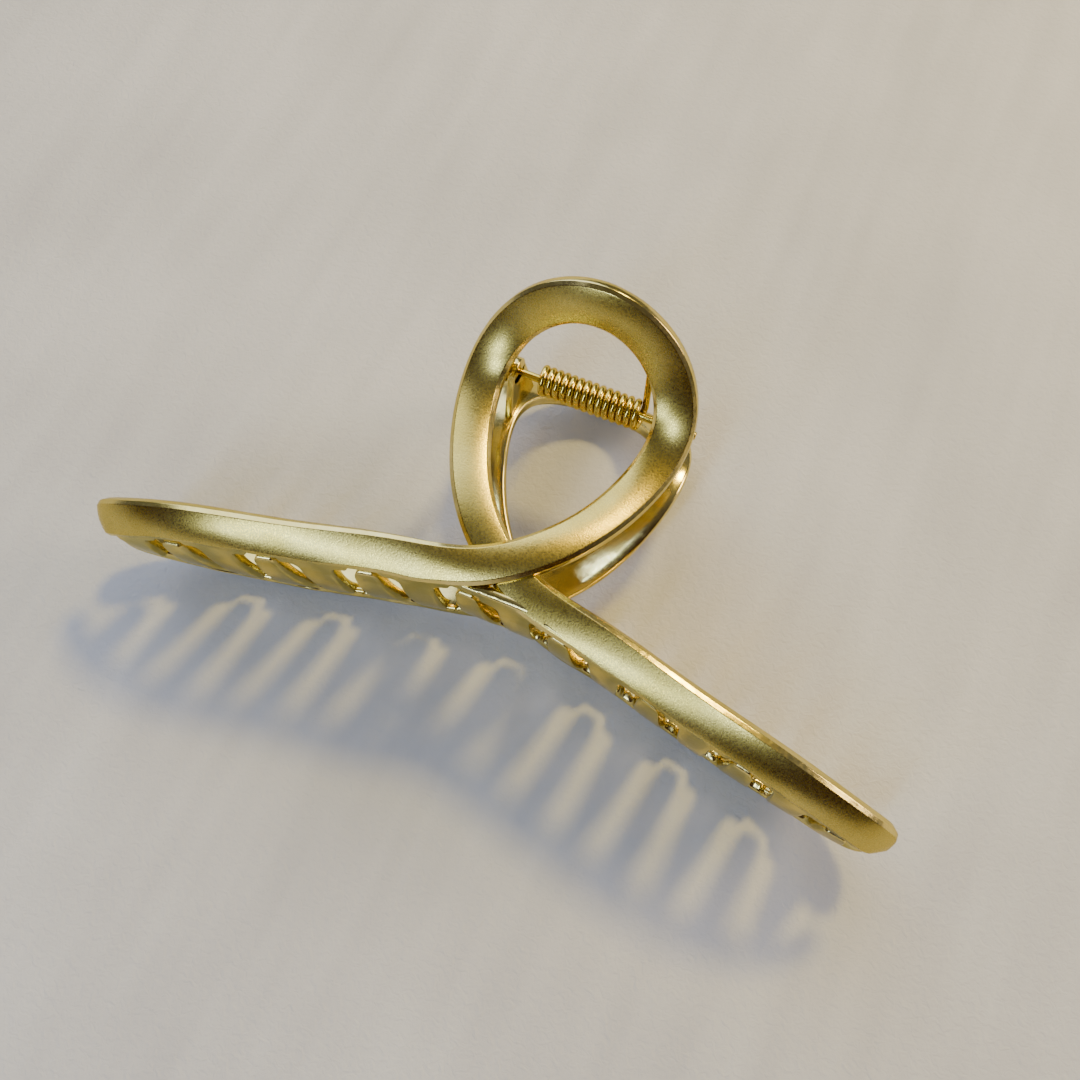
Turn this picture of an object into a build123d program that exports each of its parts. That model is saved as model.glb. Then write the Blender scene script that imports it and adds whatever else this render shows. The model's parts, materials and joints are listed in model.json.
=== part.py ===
from build123d import *
import os
from math import acos, atan2, cos, degrees, radians, sin, sqrt

os.makedirs("parts", exist_ok=True)

# Claw clip: two identical die-cast halves shaped as a looped ribbon, one hinge pin, one torsion spring.
# All sizes in millimetres. The halves are drawn in the frame of the closed clip:
# X along the hinge pin, Y from the teeth toward the handles, Z outward, with the parting plane at Z = 0.

# overall sizes
overall_length = 120.0      # from arm tip to arm tip
jaw_depth = 12.6            # band centre to parting plane, over the middle of the arms
crossing_height = 12.0      # height of the point where the ribbon crosses itself
loop_half_width = 13.6      # band centre to the loop axis at its widest
crown_height = 49.4         # height of the handle's end
crown_depth = 19.6          # how far the handle's end stands off the parting plane

# ribbon band
arm_band_width = 5.4
crown_band_width = 6.4
band_thickness = 2.2
band_crown = 0.25           # rise of the outer face over its flat edge line
edge_bevel = 0.7            # width of the bright bevel on both outer edges
ribbon_lift = 0.7           # each band shifts this far at the crossing, one out and one in
tip_gap = 0.3               # gap between the closed halves at the arm tips

# teeth
tooth_pitch = 14.0
teeth_per_side = 4
tooth_tip_width = 3.6
tooth_root_width = 4.6
tooth_thickness = 1.7
tooth_bow = 1.5             # bulge of the tooth row away from the handles
tooth_row_step = 0.6        # how far the row's outer skin stands below the middle of its root
valley_depth = 3.1          # from the row's root to the level floor between the teeth
valley_round = 1.0          # fillet where a tooth leaves that floor
notch_depth = 1.3           # from the row's root to the notch that takes the other half's tooth
notch_air = 0.6             # side clearance of that tooth in its notch
tooth_reach = 0.86          # tip depth past the parting plane as a share of the root depth
tooth_tip_air = 1.0         # further distance the tips keep from the other half's band

# hinge
hinge_height = 43.6         # pin axis above the arm tips
pin_diameter = 1.2
pin_press = 0.02            # the press-fitted bore is this much smaller than the pin
pin_clearance = 0.06        # the running bore is this much larger than the pin
pin_head = 2.2              # free length of pin beyond the outer lug on the right
lug_thickness = 1.2
lug_gap = 0.25              # side clearance between neighbouring lugs
inner_lug_face = 11.5       # inner face of the inner lug, from the loop axis
lug_boss_radius = 2.1
lug_width = 8.6             # height of the lug where it meets the band

# spring
wire_diameter = 1.05
coil_mean_diameter = 3.7
coil_turns = 14
coil_pitch = 1.12
leg_contact = 0.04          # air left between the leg and the band it pushes on
leg_bend = 2.2              # bent end of each leg


half_length = overall_length / 2 - band_thickness / 2 - band_crown
tip_depth = (band_thickness + tip_gap) / 2 + 0.9

# ribbon centreline from the right arm tip, under the crossing, up the left side to the handle's crown:
# (point, lean of the band face toward the teeth in degrees)
guide = [
    ((half_length, 0.0, tip_depth), 18),
    ((half_length - 1.2, 0.05, tip_depth + 2.4), 25),
    ((half_length - 7.0, 1.0, jaw_depth * 0.72), 34),
    ((half_length * 0.73, 2.85, jaw_depth * 0.97), 36),
    ((half_length * 0.46, 6.3, jaw_depth), 28),
    ((half_length * 0.24, 9.4, jaw_depth * 0.985), 17),
    ((half_length * 0.06, crossing_height, jaw_depth * 0.955), 4),
    ((-loop_half_width * 0.39, crossing_height + 6.4, jaw_depth * 0.905), -8),
    ((-loop_half_width * 0.86, crossing_height + 17.0, jaw_depth * 0.70), -13),
    ((-loop_half_width * 1.01, hinge_height - 2.8, jaw_depth * 0.72), 24),
    ((-loop_half_width * 0.66, crown_height - 1.9, crown_depth * 0.80), 50),
    ((0.0, crown_height, crown_depth), 56),
]
guide_points = [Vector(*point) for point, lean in guide]
guide_leans = [lean for point, lean in guide]
crossing_index = 6
path_right = Spline(*guide_points, tangents=[(-0.35, 0.02, 1.0), (1, 0, 0)], tangent_scalars=[1.0, 1.0])
knots = [path_right.param_at_point(point) for point in guide_points]


def between(values, index, share):
    """Smooth value a share of the way from one guide point to the next."""
    last = len(values) - 1
    a = values[max(index - 1, 0)]
    b = values[index]
    c = values[min(index + 1, last)]
    d = values[min(index + 2, last)]
    slope_b = (c - a) / 2
    slope_c = (d - b) / 2
    s2 = share * share
    s3 = s2 * share
    near = (2 * s3 - 3 * s2 + 1) * b + (s3 - 2 * s2 + share) * slope_b
    far = (3 * s2 - 2 * s3) * c + (s3 - s2) * slope_c
    return near + far


def band_station(index, share):
    """Centre, direction, width direction and face normal of the band at one station."""
    place = knots[index] + (knots[min(index + 1, len(knots) - 1)] - knots[index]) * share
    centre = path_right @ place
    along = path_right % place
    lean = radians(between(guide_leans, index, share))
    face = Vector(0, -sin(lean), cos(lean))
    across = along.cross(face).normalized()
    normal = across.cross(along).normalized()
    return centre, along, across, normal


def band_width(travel):
    """Band width along the ribbon: travel runs from 0 at the arm tip to 1 at the handle's crown."""
    return arm_band_width + (crown_band_width - arm_band_width) * max(0.0, (travel - 0.6) / 0.4)


def band_section(plane, width):
    """Crowned band section with a bevel on both outer edges; the outer face points along local Y."""
    half = width / 2
    back = -band_thickness / 2
    front = band_thickness / 2
    bevel = min(edge_bevel, half * 0.45)
    with BuildSketch(plane) as section:
        with BuildLine():
            Polyline((-half, front - bevel), (-half, back + 0.3), (-half + 0.3, back), (half - 0.3, back),
                     (half, back + 0.3), (half, front - bevel), (half - bevel, front))
            ThreePointArc((half - bevel, front), (0, front + band_crown), (-half + bevel, front))
            Line((-half + bevel, front), (-half, front - bevel))
        make_face()
    return section.sketch.face()


def lay_band(mirrored, lift):
    """Loft the band from an arm tip to the crown; a mirrored one runs beyond the loop axis."""
    sections = []
    stations = []
    steps = [3, 3, 3, 3, 3, 3, 3, 3, 3, 3, 4]
    for index, count in enumerate(steps):
        stations += [(index, step / count) for step in range(count)]
    stations.append((len(steps) - 1, 1.0))
    crossing_travel = crossing_index / len(steps)
    for index, share in stations:
        centre, along, across, normal = band_station(index, share)
        travel = (index + share) / len(steps)
        hump = max(0.0, 1 - ((travel - crossing_travel) / 0.2) ** 2) ** 2
        centre = centre + Vector(0, 0, 1) * (lift * hump)
        width = band_width(travel)
        if index == 0:
            width = width * (0.55 + 0.45 * sqrt(share * (2 - share)))
        if mirrored:
            centre = Vector(-centre.X, centre.Y, centre.Z)
            along = Vector(-along.X, along.Y, along.Z)
            across = Vector(-across.X, across.Y, across.Z)
            normal = Vector(-normal.X, normal.Y, normal.Z)
            plane = Plane(origin=centre, x_dir=across, z_dir=across.cross(normal))
        else:
            plane = Plane(origin=centre, x_dir=-across, z_dir=(-across).cross(normal))
        sections.append(band_section(plane, width))
    return loft(sections=sections, mode=Mode.PRIVATE)


def arm_at(x):
    """Band station on the right arm at a given distance from the loop axis."""
    low = 0.0
    high = knots[crossing_index + 1]
    for pass_number in range(40):
        middle = (low + high) / 2
        if (path_right @ middle).X > x:
            low = middle
        else:
            high = middle
    index = max(i for i in range(len(knots)) if knots[i] <= low + 1e-9)
    share = (low - knots[index]) / (knots[index + 1] - knots[index])
    return band_station(index, share)


def tooth_row(x):
    """Height and depth where the tooth row leaves the band's lower edge, and its direction there."""
    reach = min(max(abs(x), 6.0), half_length - 1.5)
    centre, along, across, normal = arm_at(reach)
    root = centre - across * (band_width(0) / 2 - 1.1) + normal * 0.25
    return root.Y, root.Z


def tooth_row_section(x):
    """Bowed plate from the band's lower edge of this half to that of the other half."""
    height, depth = tooth_row(x)
    height = height - tooth_row_step
    bow = tooth_bow * depth / jaw_depth
    swing = 2 * atan2(bow, depth)
    end_y = tooth_thickness * cos(swing)
    end_z = tooth_thickness * sin(swing)
    top = depth
    with BuildSketch(Plane(origin=(x, 0, 0), x_dir=(0, 1, 0), z_dir=(1, 0, 0))) as section:
        with BuildLine():
            outer = ThreePointArc((height, top), (height - bow, 0), (height, -top))
            Line((height, -top), (height + end_y, -top + end_z))
            inner = ThreePointArc((height + end_y, -top + end_z), (height - bow + tooth_thickness, 0),
                                  (height + end_y, top - end_z))
            Line((height + end_y, top - end_z), (height, top))
        make_face()
    return section.sketch.face()


def tooth_depths(x):
    """Depths of the level floor, the notch and the tooth tip at a place along the row."""
    height, depth = tooth_row(x)
    outer_height, outer_depth = tooth_row(abs(x) + tooth_tip_width * 0.7)
    return depth - valley_depth, depth - notch_depth, tooth_tip_air - tooth_reach * outer_depth


def tooth_side(x, side):
    """Points down one side of a tooth: end of the level floor, top of the straight flank, its end."""
    floor, notch, tip_depth = tooth_depths(x)
    root = x + side * tooth_root_width / 2
    floor_end = (root + side * valley_round, tooth_depths(root + side * valley_round)[0])
    flank_top = (root, floor - valley_round)
    middle = (root + side * valley_round * 0.3, floor - valley_round * 0.3)
    flank_end = (x + side * tooth_tip_width / 2, tip_depth + tooth_tip_width / 2)
    return floor_end, middle, flank_top, flank_end


def tooth_comb():
    """Outline of the tooth row seen along Y: round-tipped fingers, with a notch between each two."""
    top = jaw_depth + 6
    centres = [(k + 0.25) * tooth_pitch for k in range(-teeth_per_side, teeth_per_side)]
    notch_half = tooth_tip_width / 2 + notch_air
    far_left = centres[0] - tooth_pitch / 2 + 0.6
    far_right = centres[-1] + tooth_pitch / 2 - 0.6
    with BuildSketch(Plane(origin=(0, 40, 0), x_dir=(1, 0, 0), z_dir=(0, -1, 0))) as comb:
        with BuildLine():
            first = (far_left, tooth_depths(far_left)[0])
            cursor = first
            for x in centres:
                floor_end, middle, flank_top, flank_end = tooth_side(x, -1)
                Line(cursor, floor_end)
                ThreePointArc(floor_end, middle, flank_top)
                Line(flank_top, flank_end)
                right_end, right_middle, right_top, right_flank = tooth_side(x, 1)
                ThreePointArc(flank_end, (x, tooth_depths(x)[2]), right_flank)
                Line(right_flank, right_top)
                ThreePointArc(right_top, right_middle, right_end)
                cursor = right_end
                if x != centres[-1]:
                    gap = x + tooth_pitch / 2
                    for reach, level in ((-notch_half, 0), (-notch_half + 0.5, 1), (notch_half - 0.5, 1),
                                         (notch_half, 0)):
                        corner = (gap + reach, tooth_depths(gap + reach)[level])
                        Line(cursor, corner)
                        cursor = corner
            last = (far_right, tooth_depths(far_right)[0])
            Line(cursor, last)
            Line(last, (far_right, top))
            Line((far_right, top), (far_left, top))
            Line((far_left, top), first)
        make_face()
    return comb.sketch


def tooth_plate():
    """Bowed plate cut to the comb outline."""
    ends = (teeth_per_side - 0.25) * tooth_pitch + tooth_root_width / 2 + 0.4
    count = 28
    sections = [tooth_row_section(-ends + 2 * ends * step / count) for step in range(count + 1)]
    with BuildPart() as plate:
        add(loft(sections=sections, mode=Mode.PRIVATE))
        add(extrude(tooth_comb(), amount=80, mode=Mode.PRIVATE), mode=Mode.INTERSECT)
    return plate.part


def lug_outline():
    """Hinge lug: a wedge from the back of the band narrowing to a round boss at the pin."""
    back_depth = jaw_depth * 0.70
    low = hinge_height - lug_width * 0.68
    high = low + lug_width
    boss_upper = (hinge_height + lug_boss_radius * 0.97, 0.6)
    boss_end = (hinge_height + 0.2, -lug_boss_radius * 0.9)
    boss_lower = (hinge_height - lug_boss_radius * 0.97, -0.4)
    with BuildSketch(Plane(origin=(0, 0, 0), x_dir=(0, 1, 0), z_dir=(1, 0, 0))) as wedge:
        with BuildLine():
            Polyline((low, back_depth), (high, back_depth + 3.0), boss_upper, boss_end, boss_lower,
                     (low, back_depth), close=False)
        make_face()
        with Locations((hinge_height, 0)):
            Circle(lug_boss_radius)
    return wedge.sketch


inner_lug_start = inner_lug_face
outer_lug_start = inner_lug_face + lug_thickness + lug_gap


def cast_half():
    """One casting before its bores are drilled: band, tooth row and two hinge lugs."""
    with BuildPart() as half:
        add(lay_band(mirrored=False, lift=-ribbon_lift))
        add(lay_band(mirrored=True, lift=ribbon_lift), clean=False)
        add(tooth_plate(), clean=False)
        wedge = lug_outline()
        for start in (inner_lug_start, -outer_lug_start - lug_thickness):
            blank = Pos(start, 0, 0) * wedge
            lug = extrude(blank, amount=lug_thickness, dir=(1, 0, 0), mode=Mode.PRIVATE)
            add(lug, clean=False)
    return half.part


def drill_half(blank, bore):
    """Bore both lugs of a casting for the pin."""
    with BuildPart() as drilled:
        add(blank)
        drill = Cylinder(radius=bore / 2, height=overall_length, rotation=(0, 90, 0), mode=Mode.PRIVATE)
        add(Pos(0, hinge_height, 0) * drill, mode=Mode.SUBTRACT, clean=False)
    return drilled.part


def crown_at(x):
    """Band station near the handle's crown at a given distance from the loop axis, on the right side."""
    low = knots[-2] * 0.5 + knots[-3] * 0.5
    high = 1.0
    for pass_number in range(40):
        middle = (low + high) / 2
        if -(path_right @ middle).X > x:
            low = middle
        else:
            high = middle
    index = min(max(i for i in range(len(knots)) if knots[i] <= low + 1e-9), len(knots) - 2)
    share = (low - knots[index]) / (knots[index + 1] - knots[index])
    centre, along, across, normal = band_station(index, share)
    return centre, normal


def spring_leg_points():
    """Points of the right leg across the pin: leaves the coil, meets its band, ends bent along it."""
    coil_end = coil_turns * coil_pitch / 2
    centre, normal = crown_at(coil_end)
    flat = sqrt(normal.Y ** 2 + normal.Z ** 2)
    out_y = normal.Y / flat
    out_z = normal.Z / flat
    reach = (band_thickness / 2) / flat + wire_diameter / 2 + leg_contact
    tip_y = centre.Y - out_y * reach
    tip_z = centre.Z - out_z * reach
    knee_y = tip_y - out_z * leg_bend
    knee_z = tip_z + out_y * leg_bend
    span = sqrt((knee_y - hinge_height) ** 2 + knee_z ** 2)
    radius = coil_mean_diameter / 2
    leave = atan2(knee_z, knee_y - hinge_height) - acos(radius / span)
    start = (hinge_height + radius * cos(leave), radius * sin(leave))
    return leave, start, (knee_y, knee_z), (tip_y, tip_z)


def rest_lean():
    """Angle that lays the arms and the crown of one half on a flat surface together."""
    arm_spots = []
    crown_spots = []
    for index in range(len(knots) - 1):
        for step in range(8):
            centre, along, across, normal = band_station(index, step / 8)
            travel = (index + step / 8) / (len(knots) - 1)
            face = centre + normal * (band_thickness / 2 + band_crown)
            edge = centre + normal * (band_thickness / 2)
            half = band_width(travel) / 2 - edge_bevel
            spots = [face, edge + across * half, edge - across * half]
            if index < crossing_index:
                arm_spots += spots
            else:
                crown_spots += spots
    centre, along, across, normal = band_station(len(knots) - 2, 1.0)
    face_half = crown_band_width / 2 - edge_bevel
    crown_spots.append(centre + normal * (band_thickness / 2) + across * face_half)
    crown_spots.append(centre + normal * (band_thickness / 2) - across * face_half)
    low = 0.0
    high = 30.0
    for pass_number in range(40):
        lean = radians((low + high) / 2)
        arms = max(spot.Z * cos(lean) - spot.Y * sin(lean) for spot in arm_spots)
        crown = max(spot.Z * cos(lean) - spot.Y * sin(lean) for spot in crown_spots)
        if crown > arms:
            low = degrees(lean)
        else:
            high = degrees(lean)
    return (low + high) / 2


half_turn = Rot(0, 180, 0)
casting = cast_half()
front_shape = drill_half(casting, pin_diameter + pin_clearance)
rear_shape = half_turn * drill_half(casting, pin_diameter - pin_press)

# lay the closed clip on its rear half, then put the origin under the middle of its box
lay_down = Rot(rest_lean(), 0, 0)
front_box = (lay_down * front_shape).bounding_box()
rear_box = (lay_down * rear_shape).bounding_box()
middle_x = (min(front_box.min.X, rear_box.min.X) + max(front_box.max.X, rear_box.max.X)) / 2
middle_y = (min(front_box.min.Y, rear_box.min.Y) + max(front_box.max.Y, rear_box.max.Y)) / 2
floor_z = min(front_box.min.Z, rear_box.min.Z)
at_rest = Pos(-middle_x, -middle_y, -floor_z) * lay_down

# front jaw casting: upper half of the clip as it lies, turns on the pin
with BuildPart() as front_jaw:
    add(at_rest * front_shape)
front_jaw.part.label = "front_jaw"

# rear jaw casting: the same casting turned half a turn about the loop axis, grips the pin
with BuildPart() as rear_jaw:
    add(at_rest * rear_shape)
rear_jaw.part.label = "rear_jaw"

# hinge pin: straight steel wire pin with softly rounded ends
pin_start = -(outer_lug_start + lug_thickness + 0.3)
pin_end = outer_lug_start + lug_thickness + pin_head
with BuildPart() as pin_shape:
    with Locations(Location(((pin_start + pin_end) / 2, hinge_height, 0), (0, 90, 0))):
        Cylinder(radius=pin_diameter / 2, height=pin_end - pin_start)
    fillet(pin_shape.edges().filter_by(GeomType.CIRCLE), radius=pin_diameter * 0.3)
with BuildPart() as hinge_pin:
    add(at_rest * pin_shape.part)
hinge_pin.part.label = "hinge_pin"

# torsion spring: close-wound coil around the pin, one leg behind each handle
leave_angle, leg_start, leg_knee, leg_tip = spring_leg_points()
coil_length = coil_turns * coil_pitch
with BuildPart() as spring_shape:
    with BuildLine() as coil_line:
        Helix(pitch=coil_pitch, height=coil_length, radius=coil_mean_diameter / 2)
    with BuildSketch(Plane(origin=coil_line.line @ 0, z_dir=coil_line.line % 0)):
        Circle(wire_diameter / 2)
    sweep(path=coil_line.line)
coil = Pos(-coil_length / 2, 0, 0) * Rot(0, 90, 0) * spring_shape.part
# the coil's ends start at angle zero of the helix; turn it so that both ends meet their legs
coil_turned = Pos(0, hinge_height, 0) * Rot(degrees(leave_angle) + 90, 0, 0) * coil
with BuildPart() as leg_shape:
    with BuildLine() as leg_line:
        Polyline((coil_length / 2, *leg_start), (coil_length / 2, *leg_knee), (coil_length / 2, *leg_tip))
        fillet(leg_line.vertices().sort_by(Axis.Z)[1], radius=wire_diameter)
    with BuildSketch(Plane(origin=leg_line.line @ 0, z_dir=leg_line.line % 0)):
        Circle(wire_diameter / 2)
    sweep(path=leg_line.line)
    with Locations((coil_length / 2, *leg_start)):
        Sphere(wire_diameter / 2)
with BuildPart() as torsion_spring:
    add(at_rest * coil_turned)
    add(at_rest * leg_shape.part)
    add(at_rest * half_turn * leg_shape.part)
torsion_spring.part.label = "torsion_spring"

export_step(front_jaw.part, "parts/front_jaw.step")
export_step(rear_jaw.part, "parts/rear_jaw.step")
export_step(hinge_pin.part, "parts/hinge_pin.step")
export_step(torsion_spring.part, "parts/torsion_spring.step")
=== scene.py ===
"""Gold ribbon-loop claw clip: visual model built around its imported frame.

Two die-cast halves, a hinge pin and a torsion spring. Lengths in the classes are millimetres in the
frame of the closed clip (X along the pin, Y from the teeth to the handles, Z outward from the parting
plane); ClipPlacement turns them into metres in the frame of the part as it lies on its rear half.
"""
from __future__ import annotations

import json
import logging
import math
from dataclasses import dataclass, field
from enum import Enum
from typing import Callable, Sequence

import bmesh
import bpy
import numpy as np
from mathutils import Matrix, Vector


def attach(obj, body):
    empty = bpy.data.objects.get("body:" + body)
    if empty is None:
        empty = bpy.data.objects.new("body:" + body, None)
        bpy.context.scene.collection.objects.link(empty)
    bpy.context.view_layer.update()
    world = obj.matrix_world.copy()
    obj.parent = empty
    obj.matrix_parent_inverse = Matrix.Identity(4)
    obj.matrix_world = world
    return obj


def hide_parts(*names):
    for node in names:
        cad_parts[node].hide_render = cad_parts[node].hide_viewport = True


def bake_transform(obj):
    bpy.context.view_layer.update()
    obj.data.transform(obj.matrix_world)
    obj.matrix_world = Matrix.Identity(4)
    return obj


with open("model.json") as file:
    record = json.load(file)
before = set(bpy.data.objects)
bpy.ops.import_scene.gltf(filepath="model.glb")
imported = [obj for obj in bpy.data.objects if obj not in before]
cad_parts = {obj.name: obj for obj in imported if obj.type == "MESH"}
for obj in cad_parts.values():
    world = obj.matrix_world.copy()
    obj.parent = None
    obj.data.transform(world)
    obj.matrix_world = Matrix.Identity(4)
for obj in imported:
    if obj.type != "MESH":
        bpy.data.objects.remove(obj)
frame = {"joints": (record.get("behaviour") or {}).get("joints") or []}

logging.basicConfig(level=logging.INFO, format="%(message)s")
LOG = logging.getLogger("claw_clip")

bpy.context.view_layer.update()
HINGE = next(joint for joint in frame["joints"] if joint["name"] == "jaw_hinge")
MM = 0.001
MERGE_M = 1e-7
SEAM_MM = 0.0005
SHARP_ANGLE = 0.6


# ---- colours and nodes ----

def linear(hex_colour: str) -> tuple[float, float, float, float]:
    """Turn an sRGB hex colour into linear RGBA.

    Args:
        hex_colour: six hex digits, with or without a leading hash.

    Returns:
        The linear colour with alpha 1.
    """
    digits = hex_colour.lstrip("#")
    channels = [int(digits[i:i + 2], 16) / 255 for i in (0, 2, 4)]
    values = [c / 12.92 if c <= 0.04045 else ((c + 0.055) / 1.055) ** 2.4 for c in channels]
    return (values[0], values[1], values[2], 1.0)


def add_node(tree: bpy.types.NodeTree, kind: str, settings: dict | None = None,
             inputs: dict | None = None) -> bpy.types.Node:
    """Add one node with its settings, socket values and incoming links.

    Args:
        tree: node tree to add to.
        kind: Blender node type name.
        settings: node attributes to set.
        inputs: socket name or index to a value, or to an output socket to link from.

    Returns:
        The new node.
    """
    node = tree.nodes.new(kind)
    for name, value in (settings or {}).items():
        setattr(node, name, value)
    for name, value in (inputs or {}).items():
        socket = node.inputs[name]
        if isinstance(value, bpy.types.NodeSocket):
            tree.links.new(value, socket)
        else:
            socket.default_value = value
    return node


def noise(tree: bpy.types.NodeTree, place: bpy.types.NodeSocket, size_mm: float, detail: float,
          roughness: float = 0.5, distortion: float = 0.0) -> bpy.types.NodeSocket:
    """Add a noise texture.

    Args:
        tree: node tree to add to.
        place: coordinates in metres.
        size_mm: size of the noise's largest features.
        detail: number of finer layers.
        roughness: strength of the finer layers.
        distortion: how far the features are bent.

    Returns:
        The grey output.
    """
    return add_node(tree, "ShaderNodeTexNoise", None,
                    {"Vector": place, "Scale": 1 / (size_mm * MM), "Detail": detail,
                     "Roughness": roughness, "Distortion": distortion}).outputs["Fac"]


def ramp(tree: bpy.types.NodeTree, factor: bpy.types.NodeSocket, places: tuple[float, float],
         colours: tuple[str, str]) -> bpy.types.NodeSocket:
    """Add a two-colour ramp.

    Args:
        tree: node tree to add to.
        factor: grey value that is looked up.
        places: values of the first and the second colour, rising.
        colours: the two sRGB hex colours.

    Returns:
        The colour output.
    """
    made = add_node(tree, "ShaderNodeValToRGB", None, {"Fac": factor})
    for stop, place, colour in zip(made.color_ramp.elements, places, colours):
        stop.position = place
        stop.color = linear(colour)
    return made.outputs["Color"]


def relief(tree: bpy.types.NodeTree, height: bpy.types.NodeSocket, depth_mm: float,
           over: bpy.types.NodeSocket | None = None) -> bpy.types.NodeSocket:
    """Add a bump.

    Args:
        tree: node tree to add to.
        height: grey height, from 0 to 1.
        depth_mm: depth of the relief.
        over: normal of a coarser relief under this one, or None.

    Returns:
        The normal output.
    """
    inputs = {"Height": height, "Distance": depth_mm * MM, "Strength": 1.0}
    if over is not None:
        inputs["Normal"] = over
    return add_node(tree, "ShaderNodeBump", None, inputs).outputs["Normal"]


@dataclass(frozen=True)
class PlatedMetal:
    """An electroplated gold surface.

    Attributes:
        name: what the real finish is.
        colour: sRGB hex of the plating.
        shade: sRGB hex of the plating in its slightly darker patches.
        roughness: middle roughness.
        roughness_swing: how far the roughness wanders either way.
        grain_mm: size of the blasted or drawn grain.
        grain_height_mm: depth of that grain.
        wave_mm: size of the slow undulation left by casting and polishing.
        wave_height_mm: depth of that undulation.
        edge: sRGB hex the reflection turns to at a grazing angle.
        lacquer: share of clear lacquer over the plating.
        patch_to_wave: size of a darker patch over the size of a wave.
        patch_ramp: noise values where the patches end and the full colour begins.
        grain_span: noise values that stand for the smoothest and the roughest grain.
    """

    name: str
    colour: str
    shade: str
    roughness: float
    roughness_swing: float
    grain_mm: float
    grain_height_mm: float
    wave_mm: float
    wave_height_mm: float
    edge: str
    lacquer: float
    patch_to_wave: float = 1.7
    patch_ramp: tuple[float, float] = (0.34, 0.62)
    grain_span: tuple[float, float] = (0.3, 0.7)

    def build(self) -> bpy.types.Material:
        """Build the node material for this finish.

        Returns:
            The new material.
        """
        material = bpy.data.materials.new(self.name)
        material.use_nodes = True
        tree = material.node_tree
        tree.nodes.clear()
        spot = add_node(tree, "ShaderNodeTexCoord").outputs["Object"]
        patches = noise(tree, spot, self.wave_mm * self.patch_to_wave, 3.0, 0.55)
        grain = noise(tree, spot, self.grain_mm, 2.0, 0.6)
        wave = noise(tree, spot, self.wave_mm, 1.0, 0.4)
        rough = add_node(tree, "ShaderNodeMapRange", None,
                         {"Value": grain, "From Min": self.grain_span[0],
                          "From Max": self.grain_span[1],
                          "To Min": self.roughness - self.roughness_swing,
                          "To Max": self.roughness + self.roughness_swing})
        slow = relief(tree, wave, self.wave_height_mm)
        shader = add_node(tree, "ShaderNodeBsdfPrincipled", None,
                          {"Base Color": ramp(tree, patches, self.patch_ramp, (self.shade, self.colour)),
                           "Metallic": 1.0, "Roughness": rough.outputs["Result"],
                           "Normal": relief(tree, grain, self.grain_height_mm, slow),
                           "Specular Tint": linear(self.edge), "Coat Weight": self.lacquer,
                           "Coat Roughness": self.roughness})
        add_node(tree, "ShaderNodeOutputMaterial", None, {"Surface": shader.outputs["BSDF"]})
        return material


@dataclass(frozen=True)
class TableTop:
    """Pale matt table surface with a faint cloudy print and a fine tooth.

    Attributes:
        light: sRGB hex of the palest print.
        dark: sRGB hex of the darkest.
        stripe_squeeze: width of a streak over its length.
        stripe_share: how strongly the streaks count beside the clouds.
        print_ramp: noise values of the darkest and the palest print.
    """

    name: str = "pale_matt_tabletop"
    light: str = "#D2D1D1"
    dark: str = "#C2C1C2"
    cloud_mm: float = 40.0
    stripe_mm: float = 6.0
    stripe_squeeze: float = 0.12
    stripe_share: float = 0.6
    print_ramp: tuple[float, float] = (0.55, 1.0)
    tooth_mm: float = 1.1
    tooth_depth_mm: float = 0.16
    roughness: float = 0.75

    def build(self) -> bpy.types.Material:
        """Build the node material for the floor.

        Returns:
            The new material.
        """
        material = bpy.data.materials.new(self.name)
        material.use_nodes = True
        tree = material.node_tree
        tree.nodes.clear()
        spot = add_node(tree, "ShaderNodeTexCoord").outputs["Object"]
        stretched = add_node(tree, "ShaderNodeMapping", None,
                             {"Vector": spot, "Scale": (1.0, self.stripe_squeeze, 1.0)})
        stripes = noise(tree, stretched.outputs["Vector"], self.stripe_mm, 2.0)
        mixed = add_node(tree, "ShaderNodeMath", {"operation": "MULTIPLY_ADD"},
                         {0: stripes, 1: self.stripe_share, 2: noise(tree, spot, self.cloud_mm, 3.0)})
        tooth = noise(tree, spot, self.tooth_mm, 3.0, distortion=0.8)
        tint = ramp(tree, mixed.outputs["Value"], self.print_ramp, (self.dark, self.light))
        shader = add_node(tree, "ShaderNodeBsdfPrincipled", None,
                          {"Base Color": tint, "Roughness": self.roughness,
                           "Normal": relief(tree, tooth, self.tooth_depth_mm)})
        add_node(tree, "ShaderNodeOutputMaterial", None, {"Surface": shader.outputs["BSDF"]})
        return material


class Finish(Enum):
    """The finishes of the clip."""

    # Zinc die casting, fine sand-blast under champagne-gold electroplate: soft sheen, fine sparkle.
    SATIN = PlatedMetal("satin_blasted_gold_electroplate_on_zinc_casting", "#CBB862", "#BFAA50",
                        0.28, 0.05, 0.26, 0.016, 5.0, 0.02, "#F0E6B8", 0.2)
    # The same casting, tumbled bright before plating: mirror-like with slow casting ripples.
    BRIGHT = PlatedMetal("bright_tumbled_gold_electroplate_on_zinc_casting", "#E0D088", "#D4C270",
                         0.19, 0.05, 0.5, 0.004, 2.6, 0.05, "#EEE4B8", 0.0)
    # Drawn spring-steel wire under gold electroplate: bright with a faint drawn grain.
    WIRE = PlatedMetal("gold_electroplate_on_drawn_spring_wire", "#DCC768", "#CDB250",
                       0.20, 0.04, 0.22, 0.003, 1.8, 0.006, "#EBDCA0", 0.0)
    # Cut and tumbled steel pin under gold electroplate.
    PIN = PlatedMetal("gold_electroplate_on_tumbled_steel_pin", "#DAC45E", "#CAAE4A",
                      0.18, 0.04, 0.3, 0.002, 1.5, 0.006, "#E8DA98", 0.0)


MATERIALS: dict[Finish, bpy.types.Material] = {}


# ---- geometry shared by the halves ----

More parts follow.
